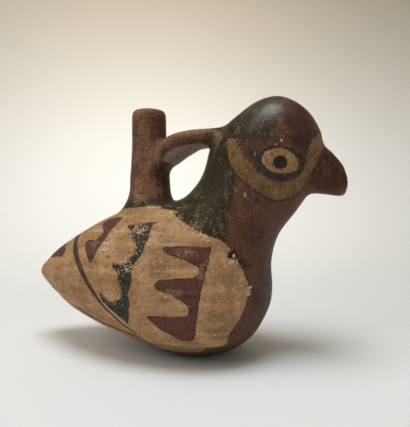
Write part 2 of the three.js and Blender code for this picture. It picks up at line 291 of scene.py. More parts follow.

# Chips in the clay on the side towards the camera: x, z, radius across, radius up, depth, how dark. A tone
# below 0 paints a pale speck: chipped clay, and in the chip at 36.9, 65.2 and the specks round the eye, a
# painted glint.
CHIPS = (
    (36, 65.4, 2.7, 2.5, 0.7, 1.5), (36.9, 65.2, 0.45, 0.95, 0.4, -2.5), (39.6, 61.6, 1.7, 1.3, 0.5, 1.5),
    (42.4, 58.6, 1.5, 0.7, 0.4, 1.5), (35.2, 62.2, 1.1, 0.9, 0.3, -2.0), (38.2, 61, 0.6, 1.2, 0.3, -2.0),
    (44.4, 46.5, 0.7, 1.3, 0.4, -1.5), (43.6, 43.5, 1.0, 0.9, 0.3, -1.0), (43.2, 48.5, 0.6, 0.6, 0.3, 1.5),
    (41, 98.6, 0.8, 1.7, 0.3, -0.3), (-21, 92.6, 2.6, 0.4, 0.4, -2.0), (-12, 91.6, 2.2, 0.5, 0.4, 1.0),
    (-16, 92.4, 1.6, 0.4, 0.3, -1.5), (-3.2, 89.4, 2.4, 0.5, 0.5, -1.5), (3.5, 86, 1.6, 0.5, 0.3, -0.6),
    (46.8, 121.7, 0.35, 0.7, 0.2, -0.4), (58.1, 126.2, 0.45, 0.4, 0.25, -0.9),
    (61.9, 129.1, 0.3, 0.9, 0.2, -0.7), (56.6, 154.6, 1.3, 0.35, 0.3, 1.0), (46.5, 102, 0.4, 0.5, 0.2, 0.9),
)

# How ragged the chips are, how far their rims reach, and the values away from any chip
CHIP_RAGGED = 0.25
CHIP_RAGGED_SIZE = 1.6
CHIP_SEED = 5
CHIP_RIM = 1.4
NO_CHIP = 3.0
OFF_SIDE = 9.0

# Round soft lights: place and aim in metres, diameter, spread in degrees and colour
LIGHTS = (
    ("overhead", (-0.04, -0.18, 0.98), (0, 0, 0), 0.55, 130, (0.95, 0.975, 1)),
    ("front", (-0.6, -0.7, 0.75), (0, 0, 0.05), 0.8, 100, (1, 0.98, 0.95)),
    ("backdrop", (-0.2, 0.3, 1.0), (-0.55, 1.2, 0.15), 0.5, 120, (1, 0.97, 0.9)),
)
ROOM_LIGHT = (1.0, 0.94, 0.82, 1.0)

# Where the room's colour, the sweep painted darker towards the camera as painted shade, turns to the wall's,
# in metres towards the back
ROOM_TO_WALL = (-0.6, 0.9)

# Where the floor's colour turns to the wall's, painted darker as painted shade: the height it starts at, and
# the wall's share it ends at
FLOOR_TO_WALL = (0.02, 0.6)

# How far and how often the clay is smoothed, all over, at the joints and to find its edges
EVEN_SHARE = 0.5
EVEN_ROUNDS = 5
JOINT_SHARE = 0.6
BEND_ROUNDS = 12
BEND_EVEN_ROUNDS = 3

# The hand-made hollows: mean share of their depth, then share and size in millimetres of each noise
UNEVEN_MEAN = 0.5
UNEVEN_NOISES = ((0.3, 26), (0.2, 9))

# How near the inner wall a point lies that is left unpainted, and how far it is looked for
BARE_REACH = 0.02
BARE_SEARCH = 0.5

# How finely the smooth forms are cut
FORM_STEPS = 150
FORM_SIDES = 150
HOLLOW_STEPS = 60
HOLLOW_SIDES = 56
BEAK_STEPS = 40
BEAK_SIDES = 64
SPOUT_SIDES = 96
STRAP_STEPS = 70
STRAP_SIDES = 48
OUTLINE_STEPS = 4
BACK_SAMPLES = 2000
STAGE_SIDES = 96
COVE_STEPS = 25

BOTTOM_TO_CROWN = HEIGHT + SINK


# Curves and skins


def curve_through(rows):
    """A smooth curve through rows of numbers, as a function of 0 to 1."""
    rows = np.asarray(rows, float)
    rows = np.vstack((2 * rows[0] - rows[1], rows, 2 * rows[-1] - rows[-2]))

    def at(u):
        place = np.asarray(u, float) * (len(rows) - 3)
        first = np.minimum(place.astype(int), len(rows) - 4)
        t = (place - first)[..., None]
        a, b, c, d = (rows[first + k] for k in range(4))
        leave, arrive = (c - a) / 2, (d - b) / 2
        return b + t * (leave + t * (3 * (c - b) - 2 * leave - arrive + t * (2 * (b - c) + leave + arrive)))

    return at


def middle_points(shares):
    """Points of the middle plane, in millimetres, from shares of the length and height."""
    x, z = np.asarray(shares, float).T
    return np.stack((x * LENGTH, 0 * x, z * BOTTOM_TO_CROWN - SINK), 1)


def full_turn(sides):
    """Angles all the way round, as one row."""
    return np.linspace(0, 2 * np.pi, sides, endpoint=False)[None, :]


def oval_rings(back, under, half, low, sides):
    """Oval rings between points of the middle plane, bulging half to each side."""
    turn = full_turn(sides)
    to_back = (1 + np.cos(turn) - low[:, None] * np.sin(turn) ** 2) / 2
    rings = under[:, None] + to_back[..., None] * (back - under)[:, None]
    rings[..., 1] = half[:, None] * np.sin(turn)
    return rings


def skin(rings, first, *last):
    """Points and faces of a skin over rings, closed by a point at its start, and at its end if given."""
    count, sides = rings.shape[:2]
    points = np.vstack((first, rings.reshape(-1, 3), *last))
    end, last_ring = len(points) - 1, 1 + (count - 1) * sides
    faces = []
    for side in range(sides):
        beside = (side + 1) % sides
        faces.append((0, 1 + side, 1 + beside))
        if last:
            faces.append((end, last_ring + beside, last_ring + side))
        for ring in range(count - 1):
            here, over = 1 + ring * sides, 1 + (ring + 1) * sides
            faces.append((here + side, over + side, over + beside, here + beside))
    return points, faces


def mesh_object(name, points, faces, edges=()):
    """An object made from points in millimetres."""
    mesh = bpy.data.meshes.new(name)
    mesh.from_pydata((np.asarray(points) * MM).tolist(), list(edges), list(faces))
    mesh.update()
    thing = bpy.data.objects.new(name, mesh)
    bpy.context.scene.collection.objects.link(thing)
    return thing


def apply_shape(thing):
    """Turn the object's modifiers into plain mesh."""
    bpy.context.view_layer.update()
    depsgraph = bpy.context.evaluated_depsgraph_get()
    made = bpy.data.meshes.new_from_object(thing.evaluated_get(depsgraph), depsgraph=depsgraph)
    thing.modifiers.clear()
    old = thing.data
    thing.data = made
    bpy.data.meshes.remove(old)


def remove(thing):
    mesh = thing.data
    bpy.data.objects.remove(thing)
    bpy.data.meshes.remove(mesh)


def combine(thing, others, operation):
    """Join others to the object or cut them from it."""
    for other in others:
        modifier = thing.modifiers.new(operation.title(), "BOOLEAN")
        modifier.operation = operation
        modifier.solver = "MANIFOLD"
        modifier.object = other
    apply_shape(thing)


def rows_of(collection, name):
    """A vector of each member of a mesh's collection, one to a row."""
    values = np.empty(len(collection) * 3, np.float32)
    collection.foreach_get(name, values)
    return values.reshape(-1, 3).astype(float)


def points_of(mesh):
    return rows_of(mesh.vertices, "co") / MM


def normals_of(mesh):
    return rows_of(mesh.vertex_normals, "vector")


def tree_of(thing):
    """A search tree over an object's faces, in millimetres."""
    points = points_of(thing.data)
    return BVHTree.FromPolygons(points.tolist(), [tuple(face.vertices) for face in thing.data.polygons])


def set_points(mesh, points):
    mesh.vertices.foreach_set("co", (points * MM).astype(np.float32).ravel())
    mesh.update()


def smooth_step(value):
    value = np.clip(value, 0, 1)
    return value * value * (3 - 2 * value)


def noise_at(points, size, seed=0):
    """Smooth noise from -1 to 1 whose features are about size millimetres across."""
    shift = Vector((17.3, -4.1, 9.7)) * (seed + 1)
    return np.array([noise.noise(Vector(point) + shift) for point in (points / size).tolist()])


# The parts of the form


def form_lines():
    back = curve_through(middle_points([ring[0] for ring in RINGS]))
    under = curve_through(middle_points([ring[1] for ring in RINGS]))
    girth = curve_through([(ring[2] * WIDTH, ring[3]) for ring in RINGS])
    return back, under, girth


def bird_form():
    """The skin of the bird's body, neck and head."""
    back, under, girth = form_lines()
    u = np.arange(1, FORM_STEPS) / FORM_STEPS
    half, low = girth(u).T
    return skin(oval_rings(back(u), under(u), half, low, FORM_SIDES), back(0.0), back(1.0))


def hollow_form(wall):
    """The hollow inside the bird, a wall's thickness further in and flat over the base."""
    back, under, girth = form_lines()
    u = np.arange(1, HOLLOW_STEPS) / HOLLOW_STEPS
    top, bottom = back(u), under(u)
    half, low = girth(u).T
    across = bottom - top
    depth = np.linalg.norm(across, axis=1)
    roomy = np.minimum(depth / 2, half) > TIP_WALLS * wall
    inward = (across / np.maximum(depth, TINY)[:, None] * wall)[roomy]
    top, bottom = top[roomy] + inward, bottom[roomy] - inward
    rings = oval_rings(top, bottom, half[roomy] - wall, low[roomy], HOLLOW_SIDES)
    middle = (top + bottom) / 2
    points, faces = skin(rings, middle[0], middle[-1])
    points[:, 2] = np.maximum(points[:, 2], wall)
    return points, faces


def beak_form():
    rows = np.asarray(BEAK_RINGS)
    top = curve_through(middle_points(rows[:, (0, 1)]))
    bottom = curve_through(middle_points(rows[:, (0, 2)]))
    half = curve_through(rows[:, 3:] * BEAK_WIDTH)
    u = np.linspace(0, 1, BEAK_STEPS)
    low = np.full(BEAK_STEPS, BEAK_LOW)
    rings = oval_rings(top(u), bottom(u), half(u)[:, 0], low, BEAK_SIDES)
    return skin(rings, (top(0.0) + bottom(0.0)) / 2, (top(1.0) + bottom(1.0)) / 2)


def spout_place():
    """The spout's place along the bird and the heights of its foot and rim."""
    back = form_lines()[0](np.linspace(0, 1, BACK_SAMPLES))
    x = SPOUT_AT * LENGTH
    foot = back[np.abs(back[:, 0] - x).argmin(), 2]
    return x, foot, foot + SPOUT_RISE


def bezier(points, steps=14):
    """Points of a Bezier curve after its first one."""
    t = np.linspace(0, 1, steps + 1)[1:, None]
    line = [np.asarray(point, float) + 0 * t for point in points]
    while len(line) > 1:
        line = [a + t * (b - a) for a, b in zip(line, line[1:])]
    return line[0].tolist()


def arc(centre, radius, start, stop, steps=10):
    turn = np.radians(np.linspace(start, stop, steps + 1))
    return np.stack((centre[0] + radius * np.cos(turn), centre[1] + radius * np.sin(turn)), 1).tolist()


def turned(profile):
    """A closed skin turned round the spout's axis from a profile of radius and height."""
    x, foot, _ = spout_place()
    radius, height = np.asarray(profile, float)[1:-1].T
    turn = full_turn(SPOUT_SIDES)
    lean = -SPOUT_LEAN / SPOUT_RISE * (height - foot)
    rings = np.stack((
        x + lean[:, None] + radius[:, None] * np.cos(turn),
        -radius[:, None] * np.sin(turn),
        height[:, None] + 0 * turn,
    ), 2)
    ends = [(x - SPOUT_LEAN / SPOUT_RISE * (h - foot), 0, h) for _, h in (profile[0], profile[-1])]
    return skin(rings, *ends)


def spout_form(across, foot_across):
    _, foot, rim = spout_place()
    thick, neck = foot_across / 2, across / 2
    edge, bend = foot - FLARE_DROP, foot + FLARE_RISE
    profile = [(0, edge), (thick + FLARE_SPREAD, edge)]
    profile += bezier(((thick + FLARE_SPREAD, edge), (thick, foot), (thick, bend)))
    profile += bezier((
        (thick, bend), (thick, bend + FLARE_RISE), (neck, bend + FLARE_RISE), (neck, rim - LIP_DROP)))
    lip = arc((0, 0), 1, 0, 90)
    profile += [(neck + LIP_ROUND * (x - 1), rim + LIP_DROP * (z - 1)) for x, z in lip]
    profile += [(0, rim)]
    return turned(profile)


def bore_form(across, spout_wall, wall):
    """The channel through the spout, with a rounded mouth."""
    _, foot, rim = spout_place()
    radius, mouth = across / 2 - spout_wall, spout_wall - LIP_ROUND
    low = foot - BORE_WALLS * wall
    profile = [(0, low), (radius, low)]
    profile += arc((radius + mouth, rim - mouth), mouth, 180, 90)
    profile += [(radius + mouth, rim + mouth), (0, rim + mouth)]
    return turned(profile)


# Node trees


class Value:
    """One output of a node, which takes part in sums."""

    def __init__(self, graph, socket):
        self.graph = graph
        self.socket = socket

    def __add__(self, other):
        return self.graph.math("ADD", self, other)

    def __sub__(self, other):
        return self.graph.math("SUBTRACT", self, other)

    def __rsub__(self, other):
        return self.graph.math("SUBTRACT", other, self)

    def __mul__(self, other):
        return self.graph.math("MULTIPLY", self, other)

    def __pow__(self, other):
        return self.graph.math("POWER", self, other)

    __radd__ = __add__
    __rmul__ = __mul__


class Graph:
    """Adds nodes to a shader or geometry tree."""

    def __init__(self, tree):
        self.tree = tree

    def node(self, kind, settings=None, values=None, out=0):
        """A node of one kind: its settings, then the values or links of its sockets."""
        made = self.tree.nodes.new(kind)
        for name, value in (settings or {}).items():
            setattr(made, name, value)
        for key, value in (values or {}).items():
            if isinstance(value, Value):
                self.tree.links.new(value.socket, made.inputs[key])
            else:
                made.inputs[key].default_value = value
        return Value(self, made.outputs[out]) if len(made.outputs) else made

    def math(self, operation, *values, clamp=False):
        settings = {"operation": operation, "use_clamp": clamp}
        return self.node("ShaderNodeMath", settings, dict(enumerate(values)))

    def vector(self, operation, *values, out=0):
        return self.node("ShaderNodeVectorMath", {"operation": operation}, dict(enumerate(values)), out)

    def between(self, value, low, high):
        """0 below low, 1 above high, with a soft step between them."""
        ends = {"Value": value, "From Min": low, "From Max": high}
        return self.node("ShaderNodeMapRange", {"interpolation_type": "SMOOTHSTEP"}, ends)

    def over(self, base, *layers):
        """A colour with others laid over it in turn, each with how much it covers."""
        for cover, paint in layers:
            base = self.node("ShaderNodeMix", {"data_type": "RGBA"}, {0: cover, 6: base, 7: paint}, out=2)
        return base

    def surface(self, values):
        """The tree's surface shader and its output."""
        shader = self.node("ShaderNodeBsdfPrincipled", None, values)
        self.node("ShaderNodeOutputMaterial", None, {"Surface": shader})


def empty_material(name):
    """A material without nodes, and the graph that adds them."""
    material = bpy.data.materials.new(name)
    material.use_nodes = True
    material.node_tree.nodes.clear()
    return material, Graph(material.node_tree)


def strap_tree():
    """Geometry nodes that lay a flat band of clay along a line."""
    tree = bpy.data.node_groups.new("Strap along a line", "GeometryNodeTree")
    sockets = (
        ("Line", "Geometry"), ("Width", "Float"), ("Thickness", "Float"), ("Squareness", "Float"),
        ("Steps", "Int"), ("Sides", "Int"), ("Material", "Material"),
    )
    for name, kind in sockets:
        tree.interface.new_socket(name, in_out="INPUT", socket_type="NodeSocket" + kind)
    tree.interface.new_socket("Strap", in_out="OUTPUT", socket_type="NodeSocketGeometry")
    graph = Graph(tree)
    start = tree.nodes.new("NodeGroupInput")
    given = {socket.name: Value(graph, socket) for socket in start.outputs if socket.name}

    def stored(line, name, value):
        settings = {"data_type": "FLOAT_VECTOR", "domain": "POINT"}
        values = {"Geometry": line, "Name": name, "Value": value}
        return graph.node("GeometryNodeStoreNamedAttribute", settings, values)

    def named(name, kind):
        return graph.node("GeometryNodeInputNamedAttribute", {"data_type": kind}, {"Name": name})

    line = graph.node("GeometryNodeMeshToCurve", None, {0: given["Line"]})
    line = graph.node("GeometryNodeCurveSplineType", {"spline_type": "CATMULL_ROM"}, {"Curve": line})
    line = graph.node(
        "GeometryNodeResampleCurve", {"mode": "COUNT"}, {"Curve": line, "Count": given["Steps"]})
    line = stored(line, "middle", graph.node("GeometryNodeInputPosition"))
    line = stored(line, "along", graph.node("GeometryNodeInputTangent"))
    round_section = graph.node(
        "GeometryNodeCurvePrimitiveCircle", {"mode": "RADIUS"}, {"Resolution": given["Sides"], 4: 1.0})
    band = graph.node(
        "GeometryNodeCurveToMesh", None, {"Curve": line, "Profile Curve": round_section, "Fill Caps": True})

    def squared(value):
        """Push a round section's value out towards a square one."""
        return graph.math("SIGN", value) * graph.math("ABSOLUTE", value) ** given["Squareness"]

    middle = named("middle", "FLOAT_VECTOR")
    along = named("along", "FLOAT_VECTOR")
    across = (0.0, 1.0, 0.0)
    up = graph.vector("CROSS_PRODUCT", along, across)
    outward = graph.vector("SUBTRACT", graph.node("GeometryNodeInputPosition"), middle)
    height = graph.vector("DOT_PRODUCT", outward, up, out=1)
    under = graph.math("MINIMUM", height, 0.0)
    rise = squared(height) * named("thick", "FLOAT") * 0.5 - under * under * named("keel", "FLOAT")
    side = squared(graph.vector("DOT_PRODUCT", outward, across, out=1))
    rise = rise * given["Thickness"]
    side = side * named("wide", "FLOAT") * given["Width"] * 0.5
    up = graph.node("ShaderNodeVectorMath", {"operation": "SCALE"}, {0: up, 3: rise})
    aside = graph.node("ShaderNodeCombineXYZ", None, {"Y": side})
    place = graph.vector("ADD", middle, graph.vector("ADD", up, aside))
    band = graph.node("GeometryNodeSetPosition", None, {"Geometry": band, "Position": place})
    band = graph.node("GeometryNodeRealizeInstances", None, {"Geometry": band})
    band = graph.node("GeometryNodeSetMaterial", None, {"Geometry": band, "Material": given["Material"]})
    end = tree.nodes.new("NodeGroupOutput")
    tree.links.new(band.socket, end.inputs[0])
    return tree


def strap(width, thickness, squareness, clay):
    """The strap handle, from the side of the spout up and level to the back of the head."""
    spout_x, foot, _ = spout_place()
    head = middle_points([STRAP_IN_HEAD])[0]
    low = foot + STRAP_ON_SPOUT * SPOUT_RISE
    along, down, wide, thick, keel = np.asarray(STRAP_LINE, float).T
    x = spout_x + along * (head[0] - spout_x)
    z = head[2] + down * (low - head[2])
    points = np.stack((x, 0 * x, z), 1)
    thing = mesh_object("strap", points, [], [(i, i + 1) for i in range(len(points) - 1)])
    for name, values in (("wide", wide), ("thick", thick), ("keel", keel)):
        attribute = thing.data.attributes.new(name, "FLOAT", "POINT")
        attribute.data.foreach_set("value", values.astype(np.float32))
    tree = strap_tree()
    modifier = thing.modifiers.new("Strap", "NODES")
    modifier.node_group = tree
    given = {
        "Width": width, "Thickness": thickness, "Squareness": squareness,
        "Steps": STRAP_STEPS, "Sides": STRAP_SIDES, "Material": clay,
    }
    for socket in tree.interface.items_tree:
        if socket.in_out == "INPUT" and socket.name in given:
            modifier[socket.identifier] = given[socket.name]
    apply_shape(thing)
    attributes = thing.data.attributes
    for name in [attribute.name for attribute in attributes if not attribute.is_required]:
        if not name.startswith("."):
            attributes.remove(attributes[name])
    return thing


# Working the clay


def neighbour_mean(mesh):
    """A function that gives each point the mean of its neighbours' values."""
    edges = np.empty(len(mesh.edges) * 2, np.int32)
    mesh.edges.foreach_get("vertices", edges)
    a, b = edges.reshape(-1, 2).T
    to, start = np.concatenate((a, b)), np.concatenate((b, a))
    count = len(mesh.vertices)
    share = 1 / np.maximum(np.bincount(to, minlength=count), 1)

    def mean(values):
        columns = [np.bincount(to, values[start, k], count) for k in range(values.shape[1])]
        return np.stack(columns, 1) * share[:, None]

    return mean


def relax(mesh, weight, rounds):
    """Move points towards their neighbours, as a wet finger evens clay."""
    points, mean = points_of(mesh), neighbour_mean(mesh)
    for _ in range(rounds):
        points += weight[:, None] * (mean(points) - points)
    set_points(mesh, points)


def joint_nearness(points, trees, reach):
    """1 where two forms meet, 0 where the second nearest form is further away than reach."""
    far = 2 * reach
    distances = np.full((len(trees), len(points)), far)
    for row, tree in enumerate(trees):
        for index, point in enumerate(points.tolist()):
            found = tree.find_nearest(point, far)
            if found[3] is not None:
                distances[row, index] = found[3]
    distances.sort(axis=0)
    return smooth_step(1 - distances[1] / reach)


def spot_distance(points, x, z, across, up):
    """Distance on the side view from the middle of an oval spot, in shares of its radii."""
    return np.hypot((points[:, 0] - x) / across, (points[:, 2] - z) / up)


def dent(mesh):
    """Press the chips into the side towards the camera, and give each point its nearness to one."""
    points, normals = points_of(mesh), normals_of(mesh)
    rough = CHIP_RAGGED * noise_at(points, CHIP_RAGGED_SIZE, CHIP_SEED)
    mark = np.full(len(points), -NO_CHIP)
    dark = np.zeros(len(points))
    push = np.zeros(len(points))
    for x, z, across, up, depth, tone in CHIPS:
        away = np.where(points[:, 1] < 0, spot_distance(points, x, z, across, up) + rough, OFF_SIDE)
        push = np.maximum(push, depth * smooth_step(CHIP_RIM - away))
        inside = (1 - away) * min(across, up)
        dark = np.where((inside > mark) | (inside > 0), tone, dark)
        mark = np.maximum(mark, inside)
    set_points(mesh, points - push[:, None] * normals)
    return mark, dark


# Where the paint lies


def line_distance(line, x, z, closed=False):
    """Distance to a line and the direction away from it. A closed outline's is more than 0 inside."""
    line = np.asarray(line, float)
    ends = np.roll(line, -1, 0) if closed else line[1:]
    starts = line if closed else line[:-1]
    best = np.full(len(x), np.inf)
    gx, gz = np.zeros(len(x)), np.zeros(len(x))
    inside = np.zeros(len(x), bool)
    for (ax, az), (bx, bz) in zip(starts, ends):
        dx, dz = bx - ax, bz - az
        t = np.clip(((x - ax) * dx + (z - az) * dz) / (dx * dx + dz * dz), 0, 1)
        ox, oz = x - ax - t * dx, z - az - t * dz
        away = np.hypot(ox, oz)
        nearer = away < best
        best = np.where(nearer, away, best)
        gx, gz = np.where(nearer, ox, gx), np.where(nearer, oz, gz)
        if closed:
            crosses = (az > z) != (bz > z)
            inside ^= crosses & (x < ax + (z - az) * dx / (dz if dz else TINY))
    reach = np.maximum(np.hypot(gx, gz), TINY)
    return np.where(inside, best, -best) if closed else best, gx / reach, gz / reach


def rounded(outline):
    """A closed outline drawn as a smooth curve through its points."""
    points = np.asarray(outline, float)
    count = len(points) * OUTLINE_STEPS
    return curve_through(np.vstack((points, points[:1])))(np.arange(count) / count)


def on_surface(found, normals, axes=(0, 2)):
    """A distance on the side view as one along the curved surface."""
    distance, gx, gz = found
    steep = gx * normals[:, axes[0]] + gz * normals[:, axes[1]]
    return distance / np.sqrt(np.maximum(1 - steep * steep, STEEPEST))


def cloud(spots, points):
    """Soft patches on the side view."""
    value = np.zeros(len(points))
    for *spot, strength in spots:
        value = np.maximum(value, strength * smooth_step(CLOUD_RIM - spot_distance(points, *spot)))
    return value


def paint_areas(points, normals):
    """Signed distances of the painted areas, in millimetres, more than 0 inside."""
    x, z = points[:, 0], points[:, 2]

    def area(*outlines):
        return np.max([on_surface(line_distance(o, x, z, closed=True), normals) for o in outlines], 0)

    def drawn(line, half):
        return half - on_surface(line_distance(line, x, z), normals)

    sideways = np.stack((normals[:, 0], np.abs(normals[:, 1]), normals[:, 2]), 1)
    belly = on_surface(line_distance(UNDERSIDE, x, np.abs(points[:, 1]), closed=True), sideways, (0, 1))
    belly = np.where(z < UNDERSIDE_TOP, belly, -FAR)
    wing = np.minimum(area(rounded(WING)), -belly)
    tail_half = TAIL_LINE_HALF + TAIL_LINE_GROWTH * smooth_step((z - TAIL_LINE_FOOT) / TAIL_LINE_RISE)
    lines = np.maximum(drawn(TAIL_LINE, tail_half), drawn(LOW_LINE, LOW_LINE_HALF))
    return {
        "wing": wing,
        "maroon": np.minimum(area(STEPPED_COMB, BACK_FIGURE, TAIL_FIGURE), wing),
        "black": np.minimum(area(BLACK_TOP, BLACK_MIDDLE, BLACK_LOW), wing),
        "lines": np.minimum(lines, wing),
        "band": area(rounded(FACE_BAND)),
        "band_shadow": drawn(BAND_SHADOW, BAND_SHADOW_HALF),
        "crease": drawn(STRAP_CREASE_SHADE, CREASE_SHADE_HALF),
        # Where the painted bounce light under the strap lies
        "strap_under": area(STRAP_UNDERLIGHT),
        "eye": area(rounded(EYE)),
        "eye_outline": area(rounded(EYE_OUTLINE)),
        "pupil": PUPIL_RADIUS - np.hypot(x - PUPIL_AT[0], z - PUPIL_AT[1]),
        "scratch": np.where(points[:, 1] < 0, drawn(GAP_HIGHLIGHT, GAP_HIGHLIGHT_HALF), -FAR),
        "smoked": area(rounded(SMOKED)),
    }


def bends(mesh):
    """How far each point stands proud of the surface round it, more than 0 on edges."""
    points, normals = points_of(mesh), normals_of(mesh)
    mean = neighbour_mean(mesh)
    smooth = points
    for _ in range(BEND_ROUNDS):
        smooth = mean(smooth)
    proud = ((points - smooth) * normals).sum(1)[:, None]
    for _ in range(BEND_EVEN_ROUNDS):
        proud = mean(proud)
    return proud[:, 0]


def store(mesh, name, values):
    attribute = mesh.attributes.new(name, "FLOAT", "POINT")
    attribute.data.foreach_set("value", np.clip(values, -FAR, FAR).astype(np.float32))


# The painted clay


def painted_clay(look):
    """Burnished slips over fired clay, with the painting, smoke clouds and wear."""
    material, graph = empty_material("Painted clay")
    between = graph.between
    place = graph.node("ShaderNodeTexCoord", out="Object")

    def stored(name):
        return graph.node("ShaderNodeAttribute", {"attribute_name": name}, out="Fac")

    def grain(size, detail=2.0, rough=0.5, stretch=None):
        """Noise from -0.5 to 0.5 with features of a size in millimetres."""
        vector = place
        if stretch:
            vector = graph.node("ShaderNodeMapping", None, {"Vector": place, "Scale": stretch})
        values = {"Vector": vector, "Scale": 1 / (size * MM), "Detail": detail, "Roughness": rough}
        return graph.node("ShaderNodeTexNoise", None, values) - 0.5

    def named(paint):
        """A slip by its name, or a colour that is already made."""
        return (*getattr(look, paint), 1.0) if isinstance(paint, str) else paint

    def over(base, *layers):
        """A slip or colour with others laid over it in turn, each with how much it covers."""
        return graph.over(named(base), *((cover, named(paint)) for cover, paint in layers))

    broad, middling = grain(34, 3), grain(9, 3)
    fine, dust = grain(2.2, 3, 0.6), grain(0.8, 2, 0.7)
    speck, pores = grain(1.1), grain(2.8)
    strokes = grain(2.4, 3, 0.6, (1.0, 1.0, 0.2))
    sweep = grain(4.0, 3, 0.6, (0.14, 0.14, 1.0))
    wobble = grain(5, 3, 0.6) * 1.6 + fine * 0.9
    ragged = grain(3.4, 4, 0.7) * 5.0

    def area(name, edge_noise=wobble, soft=0.3):
        return between(stored(name) + edge_noise, -soft, soft)

    scuff = stored("scuffs")
    worn_through = between(speck + scuff * 0.24 + middling * 0.25, 0.18, 0.25)
    # Stains, and painted shade low along the bottom
    stain_and_shade = between(stored("stains") + middling * 0.7 + broad * 0.4, 0.2, 0.9)

    # Brown slip: dark red where it is clean, olive under the smoke clouds, tan where it is thin
    smoked = between(stored("smoked") + broad * 8 + middling * 10 + fine * 3, -1.8, 1.8)
    cloud_part = between(stored("smoke") + broad * 0.7 + middling * 0.5, 0.25, 0.75)
    smoke = graph.math("MAXIMUM", smoked, cloud_part)
    red = between(stored("red") + broad * 0.6 + middling * 0.5, 0.2, 0.7)
    patchy = middling * 0.8 + fine * 0.8 + strokes * 1.6
    pale = between(stored("pale") + patchy * 0.7, 0.15, 1.0)
    flecks = between(speck * 0.5 + strokes * 0.5 + middling * 0.3 + scuff * 0.06, 0.04, 0.16)
    slip = over(
        "brown",
        (red, "red_brown"),
        (between(middling, -0.15, 0.2) * 0.35, "dark_brown"),
        (smoke * 0.92, "smoke"),
        (flecks * (0.12 + smoke * 0.6 + scuff * 0.25), "dust"),
        (pale * 0.6, "worn"),
        (between(strokes, 0.02, 0.2) * 0.22, "dark_brown"),
        # Painted bounce light on the strap's underside
        (area("strap_under", wobble, 1.2) * 0.8, "bloom_and_bounce_light"),
        # A painted shade line along the strap's crease
        (area("crease", wobble * 0.7, 0.8) * 0.6, "dark_brown"),
        # Stains, and painted shade low along the bottom
        (stain_and_shade * 0.6, "dirt_and_shade"),
    )

    # Cream slip of the wings, mottled and streaked, with stains, and painted shade low along the bottom
    cream = over(
        "cream",
        (between(middling + broad * 0.6 + fine * 0.3, -0.15, 0.15), "cream_deep"),
        (between(sweep + broad * 0.6, 0.05, 0.3) * 0.3, "cream_light"),
        (stain_and_shade * 0.6, "olive_stain_and_shade"),
        (between(dust, 0.05, 0.25) * 0.3, "olive_stain_and_shade"),
        (between(fine, 0.1, 0.25) * 0.25, "cream_light"),
        (worn_through * 0.7, "cream_light"),
    )

    # Painted figures: dark red with a darker edge and a pale film, and black that flakes
    maroon_edge = between(stored("maroon") + wobble, 0.35, 0.95)
    maroon_paint = over("maroon", (between(middling, -0.1, 0.2) * 0.4, "red_brown"))
    maroon_paint = over(
        "dark_brown",
        (maroon_edge * 0.55 + 0.45, maroon_paint),
        (between(scuff + fine * 0.9 + pores * 0.6, 0.35, 1.0) * 0.3, "bloom_and_bounce_light"),
        (worn_through * 0.5, "cream_deep"),
    )
    black_paint = over("black", (between(fine, -0.05, 0.2) * 0.5, "black_worn"))
    wing = area("wing", wobble + ragged * scuff * 0.3)
    maroon = area("maroon")
    flaked = ragged * (0.4 + scuff * 0.7) + fine * (3.0 + scuff * 4.0) + speck * 2.0 + 0.35
    black = area("black", flaked, 0.2) * (1 - worn_through * 0.9)

    # The face: band, eye, outline and pupil
    band = over(
        "band",
        (between(middling, -0.15, 0.2), "band_deep"),
        (between(broad + fine * 0.6, -0.08, 0.12) * 0.4, "worn"),
        (between(fine, 0.0, 0.25) * 0.45, "olive_stain_and_shade"),
    )
    rubbed = between(stored("band") * 0.35 - scuff * 1.2 + fine * 3.0, -1.3, -0.5)
    outline = area("eye_outline", wobble * 1.3 + ragged * 0.55, 0.4) * (1 - worn_through * 0.8)
    eye = over(
        "eye_white",
        (between(middling, -0.1, 0.15), "band"),
        (between(fine, 0.0, 0.2) * 0.5, "band_deep"),
        (worn_through * 0.5, "cream_light"),
    )
    painting = over(
        slip,
        (wing, cream),
        (maroon, maroon_paint),
        (black, black_paint),
        (area("lines", wobble * 0.25, 0.25) * 0.94, black_paint),
        (area("band_shadow", wobble * 0.6, 0.6) * 0.75, "black"),
        (outline * 0.92, black_paint),
        (area("band", wobble * 0.6) * rubbed, band),
        (area("eye", wobble * 1.1 + ragged * 0.3), eye),
        (area("pupil", wobble * 0.35), "pupil"),
    )

    # Uneven firing and brushwork: every slip varies from grain to grain
    tone = fine * 1.3 + dust * 1.1 + middling * 0.5 + (strokes * (1 - wing) + sweep * wing) * 0.9 + 1
    hue = speck * (0.07 - 0.045 * wing) + 0.5
    varied = {"Hue": hue, "Saturation": pores * (0.8 - 0.45 * wing) + 1.0, "Value": tone}
    painting = graph.node("ShaderNodeHueSaturation", None, {**varied, "Color": painting})

    # Wear on edges, dirt in pores, painted shade in hollows and creases, chips with painted glints, and the
    # bare inside
    bend = stored("bend")
    rubbed_edge = between(bend * 2.0 + fine * 0.9 + middling * 0.5, 0.25, 0.85)
